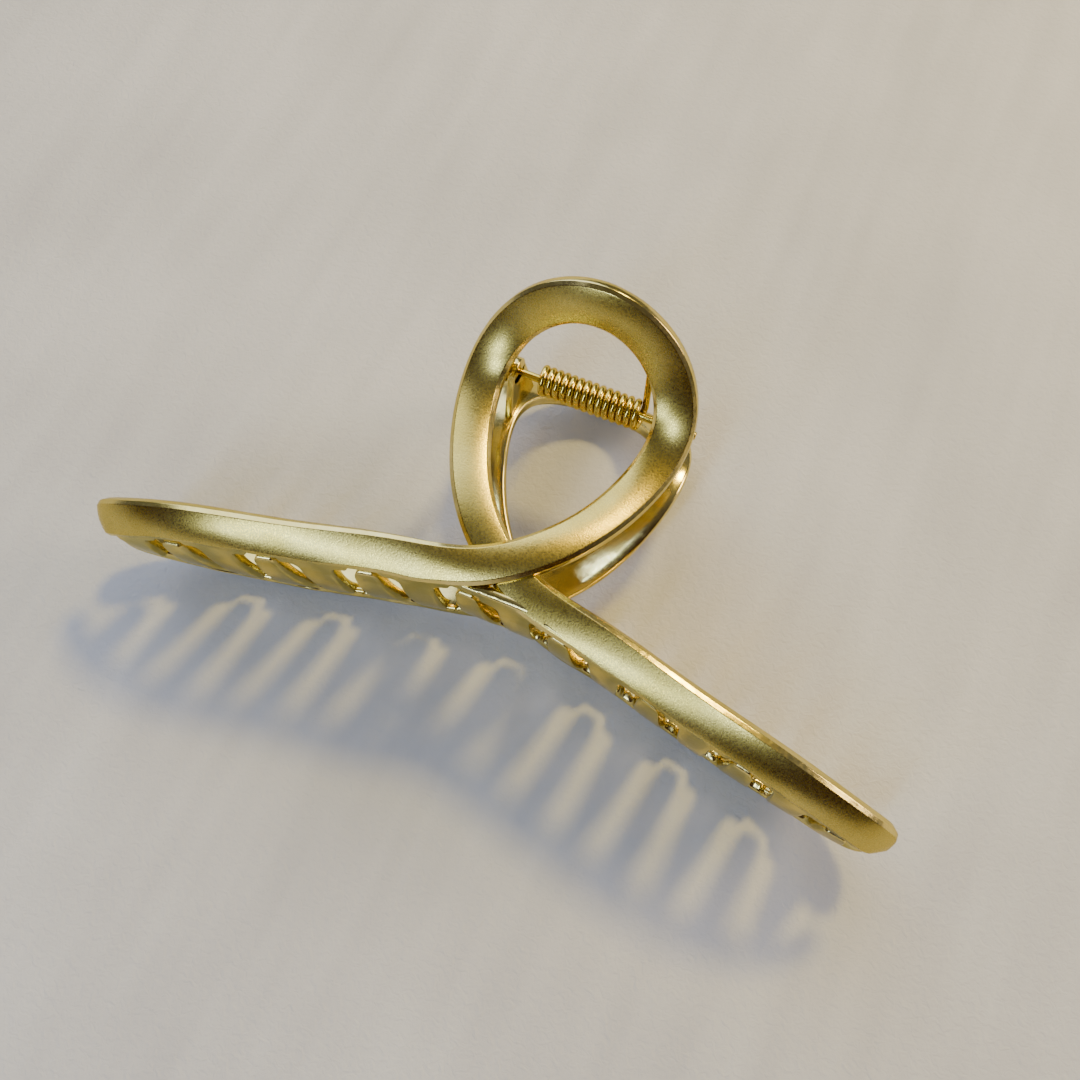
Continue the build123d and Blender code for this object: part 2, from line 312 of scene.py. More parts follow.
@dataclass(frozen=True)
class ClipPlacement:
    """How the closed clip lies in the row frame, resting on its rear half.

    Attributes:
        lean_deg: angle between the parting plane and the table.
        hinge_height: pin axis above the arm tips, in millimetres.
    """

    lean_deg: float = 9.444
    hinge_height: float = 43.6

    def matrix(self) -> Matrix:
        """Return the transform from closed-clip millimetres to row-frame metres."""
        turn = Matrix.Rotation(math.radians(self.lean_deg), 4, "X")
        pin_here = turn @ Vector((0, self.hinge_height * MM, 0))
        pin_there = Vector(HINGE["pos_m"])
        return Matrix.Translation(pin_there - pin_here) @ turn @ Matrix.Scale(MM, 4)


PLACE = ClipPlacement()


@dataclass
class Station:
    """One place along the ribbon; travel is the share of the way from the arm tip to the crown."""

    centre: Vector
    along: Vector
    across: Vector
    normal: Vector
    travel: float

    def mirrored(self) -> "Station":
        """Return the same place on the other side of the loop axis."""
        def flip(v: Vector) -> Vector:
            """Reflect a vector across the loop axis."""
            return Vector((-v.x, v.y, v.z))

        return Station(flip(self.centre), flip(self.along), flip(self.across), flip(self.normal),
                       self.travel)


class SmoothLine:
    """A C2 cubic through given rows of numbers, spaced by chord length."""

    def __init__(self, rows: Sequence[Sequence[float]], knots: Sequence[float],
                 start_slope: Sequence[float] | None = None,
                 end_slope: Sequence[float] | None = None) -> None:
        """Solve the cubic.

        Args:
            rows: values at the knots.
            knots: rising parameter values.
            start_slope: slope at the first knot, or None for a natural end.
            end_slope: slope at the last knot, or None for a natural end.
        """
        self.values = np.array(rows, float)
        self.knots = np.array(knots, float)
        count = len(self.knots)
        step = np.diff(self.knots)
        system = np.zeros((count, count))
        right = np.zeros((count, self.values.shape[1]))
        for i in range(1, count - 1):
            system[i, i - 1] = step[i]
            system[i, i] = 2 * (step[i - 1] + step[i])
            system[i, i + 1] = step[i - 1]
            right[i] = 3 * (step[i] * (self.values[i] - self.values[i - 1]) / step[i - 1]
                            + step[i - 1] * (self.values[i + 1] - self.values[i]) / step[i])
        self._end(system, right, 0, 1, step[0], start_slope)
        self._end(system, right, count - 1, count - 2, step[-1], end_slope)
        self.slopes = np.linalg.solve(system, right)

    def _end(self, system: np.ndarray, right: np.ndarray, here: int, near: int, step: float,
             slope: Sequence[float] | None) -> None:
        """Write the row for one end of the cubic.

        Args:
            system: the equations' matrix, changed in place.
            right: their right side, changed in place.
            here: the end knot.
            near: the knot beside it.
            step: distance between the two.
            slope: slope at the end, or None for a natural end.
        """
        if slope is None:
            system[here, here] = 2
            system[here, near] = 1
            rise = (self.values[near] - self.values[here]) / step
            right[here] = 3 * (rise if near > here else -rise)
        else:
            system[here, here] = 1
            right[here] = np.array(slope, float)

    def at(self, place: float) -> tuple[np.ndarray, np.ndarray]:
        """Work out the line at a parameter.

        Args:
            place: parameter value between the first and the last knot.

        Returns:
            The value and the slope there.
        """
        i = int(np.clip(np.searchsorted(self.knots, place) - 1, 0, len(self.knots) - 2))
        step = self.knots[i + 1] - self.knots[i]
        s = (place - self.knots[i]) / step
        a, b = self.values[i], self.values[i + 1]
        m, n = self.slopes[i] * step, self.slopes[i + 1] * step
        value = (2 * s ** 3 - 3 * s ** 2 + 1) * a + (s ** 3 - 2 * s ** 2 + s) * m \
            + (3 * s ** 2 - 2 * s ** 3) * b + (s ** 3 - s ** 2) * n
        slope = ((6 * s ** 2 - 6 * s) * a + (3 * s ** 2 - 4 * s + 1) * m
                 + (6 * s - 6 * s ** 2) * b + (3 * s ** 2 - 2 * s) * n) / step
        return value, slope


@dataclass
class RibbonLine:
    """Centreline and lean of the ribbon from the right arm tip to the handle's crown."""

    overall_length: float = 120.0
    jaw_depth: float = 12.6
    crossing_height: float = 12.0
    loop_half_width: float = 13.6
    hinge_height: float = PLACE.hinge_height
    crown_height: float = 49.4
    crown_depth: float = 19.6
    band_thickness: float = 2.2
    band_crown: float = 0.25
    tip_gap: float = 0.3
    crossing_index: int = 6
    search_steps: int = 40

    def __post_init__(self) -> None:
        """Fit the centreline through its guide points."""
        half = self.overall_length / 2 - self.band_thickness / 2 - self.band_crown
        depth = self.jaw_depth
        tip_depth = (self.band_thickness + self.tip_gap) / 2 + 0.9
        loop = self.loop_half_width
        cross = self.crossing_height
        self.half_length = half
        guide = [
            ((half, 0.0, tip_depth), 18), ((half - 1.2, 0.05, tip_depth + 2.4), 25),
            ((half - 7.0, 1.0, depth * 0.72), 34), ((half * 0.73, 2.85, depth * 0.97), 36),
            ((half * 0.46, 6.3, depth), 28), ((half * 0.24, 9.4, depth * 0.985), 17),
            ((half * 0.06, cross, depth * 0.955), 4), ((-loop * 0.39, cross + 6.4, depth * 0.905), -8),
            ((-loop * 0.86, cross + 17.0, depth * 0.70), -13),
            ((-loop * 1.01, self.hinge_height - 2.8, depth * 0.72), 24),
            ((-loop * 0.66, self.crown_height - 1.9, self.crown_depth * 0.80), 50),
            ((0.0, self.crown_height, self.crown_depth), 56),
        ]
        points = np.array([point for point, lean in guide], float)
        self.knots = np.concatenate([[0], np.cumsum(np.linalg.norm(np.diff(points, axis=0), axis=1))])
        start = np.array([-0.35, 0.02, 1.0])
        self.line = SmoothLine(points, self.knots, start / np.linalg.norm(start), [1, 0, 0])
        self.lean = SmoothLine([[lean] for point, lean in guide], self.knots, None, [0])
        self.length = float(self.knots[-1])

    def station(self, place: float) -> Station:
        """Work out one station of the ribbon.

        Args:
            place: distance along the ribbon from the arm tip.

        Returns:
            The station there, on the right side of the loop axis.
        """
        centre, along = self.line.at(place)
        lean = math.radians(self.lean.at(place)[0][0])
        along_v = Vector(along).normalized()
        face = Vector((0, -math.sin(lean), math.cos(lean)))
        across = along_v.cross(face).normalized()
        index = float(np.interp(place, self.knots, np.arange(len(self.knots))))
        return Station(Vector(centre), along_v, across, across.cross(along_v).normalized(),
                       index / (len(self.knots) - 1))

    def at_x(self, x: float) -> Station:
        """Find the arm's station at a distance from the loop axis, by halving.

        Args:
            x: distance from the loop axis.

        Returns:
            The station of the right arm there.
        """
        low, high = 0.0, float(self.knots[self.crossing_index + 1])
        for _ in range(self.search_steps):
            middle = (low + high) / 2
            if self.line.at(middle)[0][0] > x:
                low = middle
            else:
                high = middle
        return self.station(low)


def tube_through(bm: bmesh.types.BMesh, ring: list[bmesh.types.BMVert], places: int,
                 place_ring: Callable[[int, list[bmesh.types.BMVert]], None]) -> list[bmesh.types.BMVert]:
    """Extrude a closed ring of edges again and again, placing each new ring.

    Args:
        bm: mesh to add to.
        ring: vertices of the first ring, in order and joined by edges.
        places: number of further rings.
        place_ring: called with the ring's number and its vertices in order, and moves them.

    Returns:
        The last ring's vertices in order.
    """
    for number in range(1, places + 1):
        edges = [bm.edges.get((ring[i], ring[(i + 1) % len(ring)])) for i in range(len(ring))]
        made = bmesh.ops.extrude_edge_only(bm, edges=edges)["geom"]
        fresh = {v for v in made if isinstance(v, bmesh.types.BMVert)}
        ring = [next(e.other_vert(v) for e in v.link_edges if e.other_vert(v) in fresh) for v in ring]
        place_ring(number, ring)
    return ring


def closed_ring(bm: bmesh.types.BMesh, count: int) -> list[bmesh.types.BMVert]:
    """Add a closed ring of vertices and edges.

    Args:
        bm: mesh to add to.
        count: number of vertices.

    Returns:
        The vertices in order.
    """
    made = bmesh.ops.create_circle(bm, cap_ends=False, radius=1.0, segments=count)
    verts = list(made["verts"])
    ordered = [verts[0]]
    while len(ordered) < count:
        last = ordered[-1]
        beside = [edge.other_vert(last) for edge in last.link_edges]
        ordered.append(next(vert for vert in beside if vert not in ordered))
    return ordered


def finish_mesh(bm: bmesh.types.BMesh, name: str,
                materials: Sequence[bpy.types.Material]) -> bpy.types.Object:
    """Turn a bmesh in closed-clip millimetres into a smooth-shaded object in the row frame.

    Args:
        bm: mesh to finish; it is freed.
        name: object name.
        materials: material slots in order.

    Returns:
        The new object, linked to the scene.
    """
    bmesh.ops.transform(bm, matrix=PLACE.matrix(), verts=bm.verts)
    bmesh.ops.remove_doubles(bm, verts=bm.verts, dist=MERGE_M)
    bmesh.ops.recalc_face_normals(bm, faces=bm.faces)
    for face in bm.faces:
        face.smooth = True
    mesh = bpy.data.meshes.new(name)
    bm.to_mesh(mesh)
    bm.free()
    for material in materials:
        mesh.materials.append(material)
    piece = bpy.data.objects.new(name, mesh)
    bpy.context.scene.collection.objects.link(piece)
    return piece


# ---- the castings ----

class Side(Enum):
    """Which half a casting is, as the clip lies."""

    FRONT = "front"
    REAR = "rear"


@dataclass
class JawCasting:
    """One die-cast half: ribbon band with its loop handle, tooth row and two hinge lugs.

    Attributes:
        side: which half this is; the rear one is turned half a turn about the loop axis.
        line: the ribbon's centreline.
        widening_start: share of the travel where the band begins to widen.
        back_corner: reach across, in and up of the rounded corners of the band's back.
        crossing_spread: share of the travel over which ribbon_lift fades out.
        tip_width_share: width left at the very end of an arm.
        root_middle: nearer the loop axis than this, the tooth row keeps one height.
        root_end_air: the row's height is taken no nearer to the arm's end than this.
        notch_steps: places of a notch's lip, wall and floor from where it begins.
        reach_at: a tooth's reach is taken this far outward of its middle.
    """

    side: Side
    line: RibbonLine = field(default_factory=RibbonLine)
    arm_band_width: float = 5.4
    crown_band_width: float = 6.4
    edge_bevel: float = 0.5
    bevel_drop: float = 0.42
    ribbon_lift: float = 0.7
    widening_start: float = 0.6
    back_corner: tuple[float, float, float] = (0.45, 0.12, 0.13)
    shoulder: float = 0.2
    crossing_spread: float = 0.2
    tip_width_share: float = 0.25
    dip_start: float = 2.0
    root_middle: float = 6.0
    root_end_air: float = 1.5
    root_inset: float = 1.1
    root_rise: float = 0.25
    tooth_offset: float = 0.25
    valley_lead: float = 0.42
    notch_steps: tuple[float, float, float] = (-0.05, 0.22, 0.6)
    reach_at: float = 2.5
    smooth_levels: int = 2
    lug_edge_round: float = 0.2
    station_gap: float = 0.8
    tip_rings: int = 9
    tip_round: float = 3.6
    tooth_pitch: float = 14.0
    teeth_per_side: int = 4
    tooth_tip_width: float = 3.6
    tooth_root_width: float = 4.6
    tooth_thickness: float = 1.7
    tooth_bow: float = 1.5
    tooth_row_step: float = 0.6
    tooth_reach: float = 0.86
    tooth_tip_air: float = 1.0
    valley_depth: float = 3.1
    valley_round: float = 1.0
    notch_depth: float = 1.3
    notch_air: float = 0.6
    face_dip: float = 0.22
    dip_half_width: float = 2.4
    inner_lug_face: float = 11.5
    lug_thickness: float = 1.2
    lug_gap: float = 0.25
    lug_boss_radius: float = 2.1
    lug_width: float = 8.6
    strip_rows: int = 5
    above_root: float = 0.3

    def width(self, travel: float) -> float:
        """Return the band's width along the ribbon."""
        grown = max(0.0, (travel - self.widening_start) / (1 - self.widening_start))
        return self.arm_band_width + (self.crown_band_width - self.arm_band_width) * grown

    def tooth_centres(self) -> list[float]:
        """Return the places of the teeth along X."""
        count = self.teeth_per_side
        return [(k + self.tooth_offset) * self.tooth_pitch for k in range(-count, count)]

    def section(self, width: float, dip: float) -> list[tuple[float, float, bool]]:
        """Return the band section as points across and outward.

        Args:
            width: band width.
            dip: how far the lower edge of the face reaches down toward a tooth.

        Returns:
            Points around the section, the blasted face first from its lower to its upper edge; each is
            (across, outward, whether the edge to the next point is on the blasted face).
        """
        half = width / 2
        top = self.line.band_thickness / 2
        bevel = min(self.edge_bevel, half * 0.42)
        drop = self.bevel_drop
        edge = top - self.shoulder
        corner, corner_in, corner_up = self.back_corner
        points: list[tuple[float, float, bool]] = []
        shares = (0.0, 0.02, 0.12, 0.3, 0.5, 0.7, 0.88, 0.98, 1.0)
        low, high = -half + bevel - dip, half - bevel
        for share in shares:
            bulge = 1 - (2 * share - 1) ** 2
            fall = dip * 0.45 * (1 - share) ** 4
            outward = top + self.line.band_crown * (bulge - 0.6) - fall
            points.append((low + (high - low) * share, outward, share < 1.0))
        under = [(half - bevel * 0.9, edge - drop * 0.05), (half - 0.06, edge - drop * 0.9),
                 (half, edge - drop * 1.1), (half, top - drop * 2.2), (half, 0.0), (half, -top + corner),
                 (half - corner_in, -top + corner_up), (half - corner, -top), (half * 0.4, -top),
                 (-half * 0.4, -top), (-half + corner, -top), (-half + corner_in, -top + corner_up),
                 (-half, -top + corner), (-half, 0.0),
                 (-half - dip * 0.55, top - drop * 2.2 - dip * 0.3),
                 (-half - dip * 0.8, edge - drop * 1.1 - dip * 0.4),
                 (-half + 0.06 - dip * 0.9, edge - drop * 0.9 - dip * 0.43),
                 (-half + bevel * 0.9 - dip, edge - drop * 0.05 - dip * 0.45)]
        return points + [(a, n, False) for a, n in under]

    def place_section(self, verts: list[bmesh.types.BMVert], place: float, mirrored: bool) -> None:
        """Put one ring of the band in its place.

        Args:
            verts: the ring's vertices, in the section's order.
            place: distance along the ribbon from the arm tip.
            mirrored: whether the ring is on the left side of the loop axis.
        """
        line = self.line
        station = line.station(place)
        crossing = line.crossing_index / (len(line.knots) - 1)
        hump = max(0.0, 1 - ((station.travel - crossing) / self.crossing_spread) ** 2) ** 2
        lift = self.ribbon_lift if mirrored else -self.ribbon_lift
        dip = 0.0
        if self.dip_start < place < line.knots[line.crossing_index]:
            side = -1 if mirrored else 1
            spread = self.dip_half_width
            dip = self.face_dip * sum(math.exp(-((side * station.centre.x - x) / spread) ** 2)
                                      for x in self.tooth_centres())
        if mirrored:
            station = station.mirrored()
        centre = station.centre + Vector((0, 0, lift * hump))
        width = self.width(station.travel)
        share = min(place / self.tip_round, 1.0)
        width *= self.tip_width_share + (1 - self.tip_width_share) * math.sqrt(share * (2 - share))
        for vert, (a, n, _) in zip(verts, self.section(width, dip)):
            vert.co = centre + station.across * a + station.normal * n

    def band_mesh(self, mirrored: bool) -> bmesh.types.BMesh:
        """Sweep one side of the ribbon from its arm tip to the crown.

        Args:
            mirrored: whether this is the left side.

        Returns:
            A mesh whose blasted faces are in slot 0 and whose bright ones are in slot 1.
        """
        line = self.line
        bm = bmesh.new()
        tip = line.knots[1]
        places = [tip * i / self.tip_rings for i in range(self.tip_rings)]
        count = int((line.length - tip) / self.station_gap)
        places += [tip + (line.length - tip) * i / count for i in range(count + 1)]
        outline = self.section(self.arm_band_width, 0.0)
        mark = bm.verts.layers.int.new("mark")
        ring = closed_ring(bm, len(outline))
        first = list(ring)
        for number, vert in enumerate(ring):
            vert[mark] = number

        def place_ring(number: int, verts: list[bmesh.types.BMVert]) -> None:
            """Mark and place one new ring."""
            for index, vert in enumerate(verts):
                vert[mark] = index
            self.place_section(verts, places[number], mirrored)

        self.place_section(ring, places[0], mirrored)
        tube_through(bm, ring, len(places) - 1, place_ring)
        blasted = {i for i, point in enumerate(outline) if point[2]}
        for face in bm.faces:
            numbers = {vert[mark] for vert in face.verts}
            face.material_index = 0 if min(numbers) in blasted and max(numbers) - min(numbers) == 1 else 1
        cap = bmesh.ops.contextual_create(bm, geom=first)["faces"]
        for face in cap:
            face.material_index = 1
        return bm

    def tooth_root(self, x: float) -> tuple[float, float]:
        """Work out where the tooth row leaves the band.

        Args:
            x: place along X.

        Returns:
            The row's height and its distance outward from the parting plane.
        """
        reach = min(max(abs(x), self.root_middle), self.line.half_length - self.root_end_air)
        station = self.line.at_x(reach)
        inset = self.arm_band_width / 2 - self.root_inset
        root = station.centre - station.across * inset + station.normal * self.root_rise
        return root.y - self.tooth_row_step, root.z

    def on_row(self, x: float, depth: float, inward: float) -> Vector:
        """Return a point of the bowed tooth row.

        Args:
            x: place along the row.
            depth: distance outward from the parting plane.
            inward: distance from the outer skin toward the handles.

        Returns:
            The point in the frame of the closed clip.
        """
        height, top = self.tooth_root(x)
        bow = self.tooth_bow * top / self.line.jaw_depth
        radius = (top ** 2 + bow ** 2) / (2 * bow)
        angle = math.asin(max(-0.999, min(0.999, depth / radius)))
        reach = radius - inward
        return Vector((x, height - bow + radius - reach * math.cos(angle), reach * math.sin(angle)))

    def notch_start(self) -> float:
        """Return how far from a tooth's middle the notch beside it begins."""
        return self.tooth_pitch / 2 - self.tooth_tip_width / 2 - self.notch_air

    def row_columns(self) -> list[float]:
        """Work out the places along X at which the tooth row is divided.

        Returns:
            The places in rising order.
        """
        root = self.tooth_root_width / 2
        notch = self.notch_start()
        offsets = (0.0, root * 0.45, root * 0.86, root, root + self.valley_lead, root + self.valley_round,
                   notch - 0.55, *(notch + step for step in self.notch_steps), notch + 1.4,
                   self.tooth_pitch / 2)
        last = (self.teeth_per_side - self.tooth_offset) * self.tooth_pitch + root + self.valley_lead
        centres = self.tooth_centres()
        places = {round(centre + side * offset, 4)
                  for centre in centres + [centres[-1] + self.tooth_pitch]
                  for offset in offsets for side in (-1, 1)}
        return sorted(x for x in places if abs(x) <= last + 0.01)

    def floor_below_root(self, x: float) -> float:
        """Work out how far the strip under the band reaches below its root.

        Args:
            x: place along X.

        Returns:
            The reach, deepest beside a tooth and least in a notch.
        """
        root = self.tooth_root_width / 2
        pitch = self.tooth_pitch
        away = abs((x - self.tooth_centres()[0] + pitch / 2) % pitch - pitch / 2)
        places = [root, root + self.valley_lead, root + self.valley_round,
                  *(self.notch_start() + step for step in self.notch_steps)]
        depths = [self.valley_depth + self.valley_round, self.valley_depth + 0.2, self.valley_depth,
                  self.valley_depth - 0.05, self.notch_depth + 0.6, self.notch_depth]
        return float(np.interp(away, places, depths))

    def tooth_mesh(self) -> bmesh.types.BMesh:
        """Grow the tooth row: a notched strip under the band with one bowed tongue for each tooth.

        Returns:
            A closed, smoothed mesh.
        """
        sheet = bmesh.new()
        columns = self.row_columns()
        last = len(columns) - 1
        made = bmesh.ops.create_grid(sheet, x_segments=last, y_segments=self.strip_rows, size=1.0)
        for vert in made["verts"]:
            x = columns[round((vert.co.x + 1) / 2 * last)]
            share = (1 - vert.co.y) / 2
            fall = (self.floor_below_root(x) + self.above_root) * share
            vert.co = (x, share, self.tooth_root(x)[1] + self.above_root - fall)
        for centre in self.tooth_centres():
            self.grow_tooth(sheet, centre)
        grown = bmesh.ops.extrude_face_region(sheet, geom=list(sheet.faces), use_keep_orig=True)["geom"]
        inside = {v for v in grown if isinstance(v, bmesh.types.BMVert)}
        for vert in sheet.verts:
            inward = self.tooth_thickness if vert in inside else 0.0
            vert.co = self.on_row(vert.co.x, vert.co.z, inward)
        bmesh.ops.recalc_face_normals(sheet, faces=sheet.faces)
        return rounded(sheet, self.smooth_levels)

    def grow_tooth(self, sheet: bmesh.types.BMesh, centre: float) -> None:
        """Extrude one tooth down from the strip's lower edge, narrowing to a round tip.

        Args:
            sheet: the strip, with its lower edge at y 1.
            centre: the tooth's place along X.
        """
        root, tip = self.tooth_root_width / 2, self.tooth_tip_width / 2
        edges = [edge for edge in sheet.edges
                 if all(v.co.y > 0.99 and abs(v.co.x - centre) < root + 0.01 for v in edge.verts)]
        start = sum(v.co.z for e in edges for v in e.verts) / (2 * len(edges))
        end = self.tooth_tip_air - self.tooth_reach * self.tooth_root(abs(centre) + self.reach_at)[1]
        width = root
        profile = ((0.16, root), (0.36, root * 0.7 + tip * 0.3), (0.56, root * 0.4 + tip * 0.6),
                   (0.74, tip), (0.88, tip * 0.97), (0.95, tip * 0.84), (1.0, tip * 0.5))
        for share, reach in profile:
            made = bmesh.ops.extrude_edge_only(sheet, edges=edges)["geom"]
            for vert in (g for g in made if isinstance(g, bmesh.types.BMVert)):
                vert.co.x = centre + (vert.co.x - centre) * reach / width
                vert.co.z = start + (end - start) * share
            edges = [g for g in made
                     if isinstance(g, bmesh.types.BMEdge) and all(v in made for v in g.verts)]
            width = reach

    def add_lugs(self, bm: bmesh.types.BMesh) -> None:
        """Add the inner lug on the right and the outer lug on the left."""
        outer = self.inner_lug_face + self.lug_thickness + self.lug_gap
        for start in (self.inner_lug_face, -outer - self.lug_thickness):
            boss = bmesh.new()
            boss_turn = Matrix.Rotation(math.pi / 2, 4, "Y")
            middle = Vector((start + self.lug_thickness / 2, self.line.hinge_height, 0))
            bmesh.ops.create_cone(boss, cap_ends=True, segments=48, radius1=self.lug_boss_radius,
                                  radius2=self.lug_boss_radius, depth=self.lug_thickness,
                                  matrix=Matrix.Translation(middle) @ boss_turn)
            plate = lug_plate(start, self.lug_thickness, self.line.hinge_height,
                              self.lug_boss_radius, self.lug_width)
            for part in (plate, boss):
                soften(part, self.lug_edge_round)
                merge_into(bm, part, 1)

    def build(self) -> bpy.types.Object:
        """Build, dress and place this casting.

        Returns:
            The finished object.
        """
        bm = bmesh.new()
        for mirrored in (False, True):
            merge_into(bm, self.band_mesh(mirrored), None)
        bmesh.ops.remove_doubles(bm, verts=bm.verts, dist=SEAM_MM)
        merge_into(bm, self.tooth_mesh(), 1)
        self.add_lugs(bm)
        if self.side is Side.REAR:
            bmesh.ops.rotate(bm, cent=(0, 0, 0), matrix=Matrix.Rotation(math.pi, 3, "Y"), verts=bm.verts)
        piece = finish_mesh(bm, f"{self.side.value}_jaw_casting",
                            [MATERIALS[Finish.SATIN], MATERIALS[Finish.BRIGHT]])
        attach(piece, f"{self.side.value}_half")
        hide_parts(f"{self.side.value}_jaw")
        return piece


def lug_plate(start: float, thickness: float, height: float, boss_radius: float,
              width: float) -> bmesh.types.BMesh:
    """Build the tapered plate of a hinge lug, from the back of the band to its boss.

    Args:
        start: lowest X of the plate.
        thickness: plate thickness.
        height: height of the pin axis.
        boss_radius: radius of the round end.
        width: height of the plate where it meets the band.

    Returns:
        A closed mesh.
    """
    lug = bmesh.new()
    bmesh.ops.create_cube(lug, size=1.0)
    low = height - width * 0.68
    # (height, distance outward) of each corner, by whether it is upper and outward; the outward
    # corners end inside the band and the others inside the boss.
    corners = {(True, True): (low + width, 12.2), (False, True): (low, 9.0),
               (True, False): (height + boss_radius * 0.97, 0.7),
               (False, False): (height - boss_radius * 0.9, -0.9)}
    for vert in lug.verts:
        y, z = corners[vert.co.y > 0, vert.co.z > 0]
        vert.co = (start + thickness * (vert.co.x + 0.5), y, z)
    return lug


def soften(bm: bmesh.types.BMesh, size: float) -> None:
    """Round the sharp edges of a mesh.

    Args:
        bm: mesh to change.
        size: width of the rounding.
    """
    bm.normal_update()
    sharp = [edge for edge in bm.edges if edge.calc_face_angle(0.0) > SHARP_ANGLE]
    bmesh.ops.bevel(bm, geom=sharp, offset=size, offset_type="OFFSET", segments=3, profile=0.5,
                    affect="EDGES", material=-1)


def merge_into(target: bmesh.types.BMesh, source: bmesh.types.BMesh, slot: int | None) -> None:
    """Copy a mesh into another and free it.

    Args:
        target: mesh to add to.
        source: mesh to copy and free.
        slot: material slot for its faces, or None to keep theirs.
    """
    if slot is not None:
        for face in source.faces:
            face.material_index = slot
    carrier = bpy.data.meshes.new("carrier")
    source.to_mesh(carrier)
    source.free()
    target.from_mesh(carrier)
    bpy.data.meshes.remove(carrier)


def rounded(bm: bmesh.types.BMesh, levels: int) -> bmesh.types.BMesh:
    """Smooth a mesh by subdivision.

    Args:
        bm: mesh to smooth; it is freed.
        levels: number of subdivisions.

    Returns:
        The smoothed mesh.
    """
    mesh = bpy.data.meshes.new("cage")
    bm.to_mesh(mesh)
    bm.free()
    carrier = bpy.data.objects.new("cage", mesh)
    bpy.context.scene.collection.objects.link(carrier)
    smooth = carrier.modifiers.new("round", "SUBSURF")
    smooth.levels = levels
    smooth.render_levels = levels
    depsgraph = bpy.context.evaluated_depsgraph_get()
    done = bpy.data.meshes.new_from_object(carrier.evaluated_get(depsgraph))
    result = bmesh.new()
    result.from_mesh(done)
    bpy.data.objects.remove(carrier)
    bpy.data.meshes.remove(mesh)
    bpy.data.meshes.remove(done)
    return result


# ---- pin and spring ----

@dataclass
class HingePin:
    """Steel pin with tumbled ends, pressed into the rear casting."""

    diameter: float = 1.2
    start: float = -14.45
    end: float = 16.35
    height: float = PLACE.hinge_height
    end_round: float = 0.22

    def build(self) -> bpy.types.Object:
        """Build, dress and place the pin.

        Returns:
            The finished object.
        """
        bm = bmesh.new()
        middle = Vector(((self.start + self.end) / 2, self.height, 0))
        bmesh.ops.create_cone(bm, cap_ends=True, segments=40, radius1=self.diameter / 2,
                              radius2=self.diameter / 2, depth=self.end - self.start,
                              matrix=Matrix.Translation(middle) @ Matrix.Rotation(math.pi / 2, 4, "Y"))
        soften(bm, self.end_round)
        piece = finish_mesh(bm, "hinge_pin_tumbled", [MATERIALS[Finish.PIN]])
        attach(piece, "rear_half")
        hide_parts("hinge_pin")
        return piece


